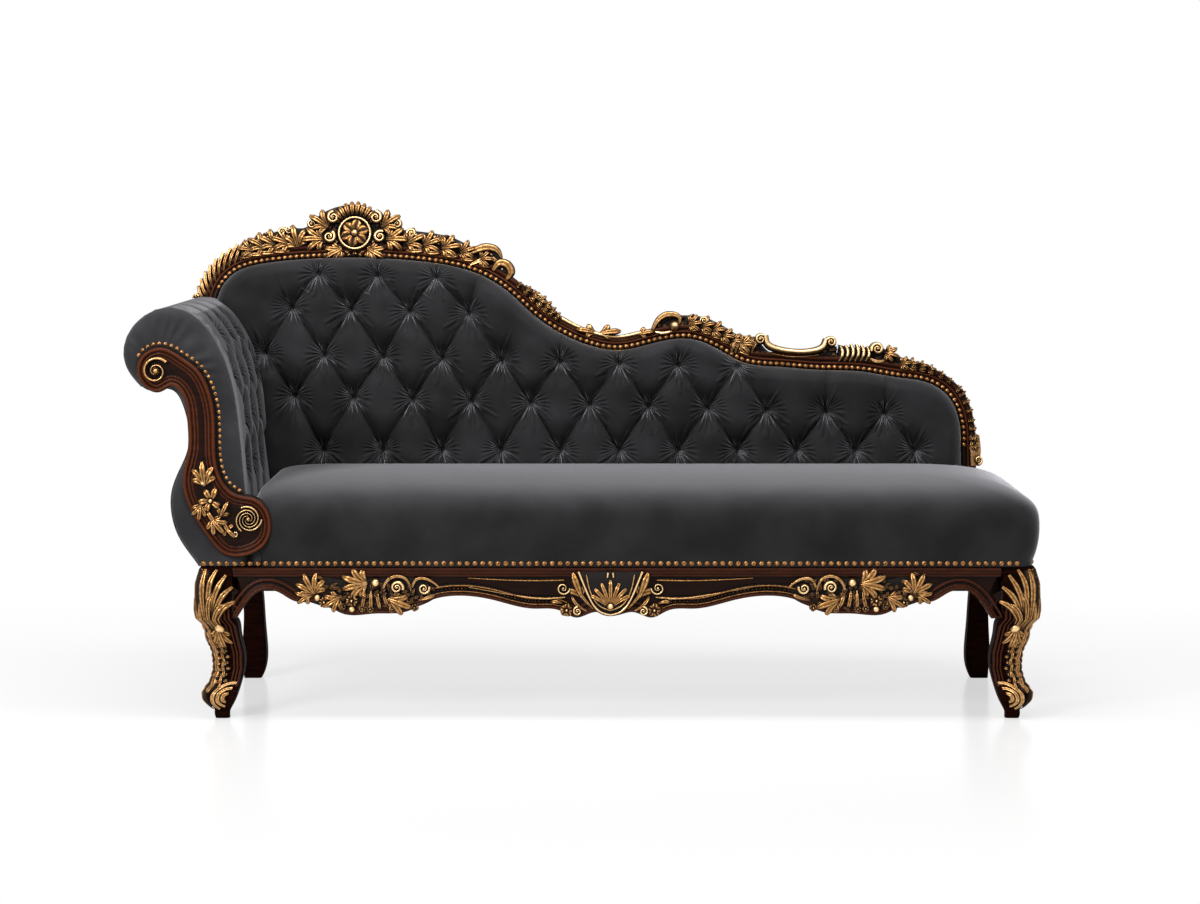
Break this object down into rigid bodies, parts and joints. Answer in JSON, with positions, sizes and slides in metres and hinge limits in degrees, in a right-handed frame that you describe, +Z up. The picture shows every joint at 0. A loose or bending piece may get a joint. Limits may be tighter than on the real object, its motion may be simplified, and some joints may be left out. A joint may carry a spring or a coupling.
{
  "type": "chaise longue",
  "caption": "Carved scroll-arm day bed with a stepped, deep-buttoned back falling to an open end, a sprung nailed seat, a shaped apron and cabriole front legs.",
  "frame": {"origin": "on the floor below the middle of the whole outline", "axes": "+X along the seat from the scroll arm to the open end, +Y from the front to the back, +Z up"},
  "size_m": [1.8352, 0.7128, 1.0385],
  "materials": {
    "dark_wood": "dark polished mahogany",
    "gilt_carving": "carved wood with worn antique gilding",
    "frame_wood": "sawn hardwood",
    "velvet": "charcoal black velvet",
    "stuffing": "hair and wadding",
    "hessian": "woven jute",
    "dust_cloth": "black cambric",
    "nail_brass": "antique bronze-gold",
    "steel": "plain steel"
  },
  "bodies": {
    "root": {"apron_cartouche": "gilt_carving", "apron_spray_left": "gilt_carving", "apron_spray_right": "gilt_carving", "arm_border": "velvet", "arm_bottom_rail": "frame_wood", "arm_buttons": "velvet", "arm_facing": "dark_wood", "arm_facing_carving": "gilt_carving", "arm_front_frame": "frame_wood", "arm_nails": "nail_brass", "arm_rear_frame": "frame_wood", "arm_stuffing": "stuffing", "arm_top_rail": "frame_wood", "back_bolts": "steel", "back_bottom_rail": "frame_wood", "back_buttons": "velvet", "back_cover": "velvet", "back_end_post": "dark_wood", "back_hessian": "hessian", "back_left_post": "frame_wood", "back_nails": "nail_brass", "back_stays": "frame_wood", "back_stuffing": "stuffing", "back_webbing": "hessian", "corner_block_screws": "steel", "corner_blocks": "frame_wood", "crest_cartouche": "gilt_carving", "crest_dowels": "frame_wood", "crest_rail_high": "dark_wood", "crest_rail_low": "dark_wood", "crest_spray_left": "gilt_carving", "crest_spray_right": "gilt_carving", "dust_cover": "dust_cloth", "end_carving": "gilt_carving", "front_left_leg": "dark_wood", "front_right_leg": "dark_wood", "front_seat_rail": "dark_wood", "hump_carving": "gilt_carving", "inside_arm_cover": "velvet", "knee_carving_left": "gilt_carving", "knee_carving_right": "gilt_carving", "left_end_rail": "frame_wood", "outside_arm_cover": "velvet", "outside_back_cover": "velvet", "rail_dowels": "frame_wood", "rear_left_leg": "dark_wood", "rear_right_leg": "dark_wood", "rear_seat_rail": "frame_wood", "right_end_rail": "frame_wood", "scroll_carving": "gilt_carving", "seat_cover": "velvet", "seat_cross_rails": "frame_wood", "seat_hessian": "hessian", "seat_nails": "nail_brass", "seat_springs": "steel", "seat_stuffing": "stuffing", "seat_webbing": "hessian", "sweep_carving": "gilt_carving", "volute_carving": "gilt_carving", "webbing_batten": "frame_wood"}
  },
  "joints": []
}
